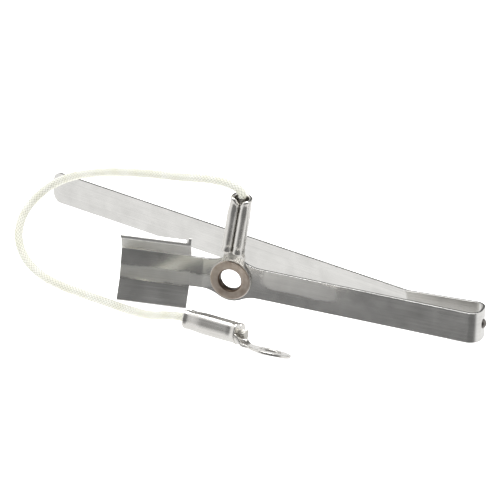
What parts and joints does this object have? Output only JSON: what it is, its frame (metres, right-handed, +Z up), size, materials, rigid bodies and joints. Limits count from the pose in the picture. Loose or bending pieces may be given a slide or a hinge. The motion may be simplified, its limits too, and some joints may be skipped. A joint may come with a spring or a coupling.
{
  "type": "sprung earth contact with lead",
  "caption": "Folded spring-steel contact strip with a saddle end, a hollow eyelet clamping a ring terminal, and a glass-braided lead to a loose ring terminal.",
  "frame": {"origin": "centre of the eyelet's bore, on the middle plane of the front arm", "axes": "+Y along the bore towards the long leg, +X along the front arm towards the fold, +Z up from the surface that the long leg's edge stands on"},
  "size_m": [0.149, 0.0919, 0.043],
  "materials": {
    "spring_steel": "bright rolled spring steel",
    "rivet_steel": "plain, slightly dull",
    "eyelet_nickel": "nickel-plated, satin",
    "terminal_plate": "bright tin plate",
    "strand_nickel": "drawn nickel strands",
    "glass_braid": "woven glass fibre"
  },
  "bodies": {
    "contact": {"contact_arm": "spring_steel", "saddle": "spring_steel", "spring_fold": "spring_steel", "fold_rivet": "rivet_steel", "eyelet": "eyelet_nickel", "fixed_terminal": "terminal_plate", "fixed_strands": "strand_nickel", "free_terminal": "terminal_plate", "free_strands": "strand_nickel", "braided_lead": "glass_braid"},
    "leg": {"long_leg": "spring_steel"}
  },
  "joints": [
    {"name": "leg_flex", "type": "hinge", "parent": "contact", "child": "leg", "pos_m": [0.07179, 0.004, -0.00552], "axis": [0, 0, 1], "range_deg": [-8, 15], "stiffness_Nm_per_rad": 1.8, "deforming": ["spring_fold"]}
  ]
}
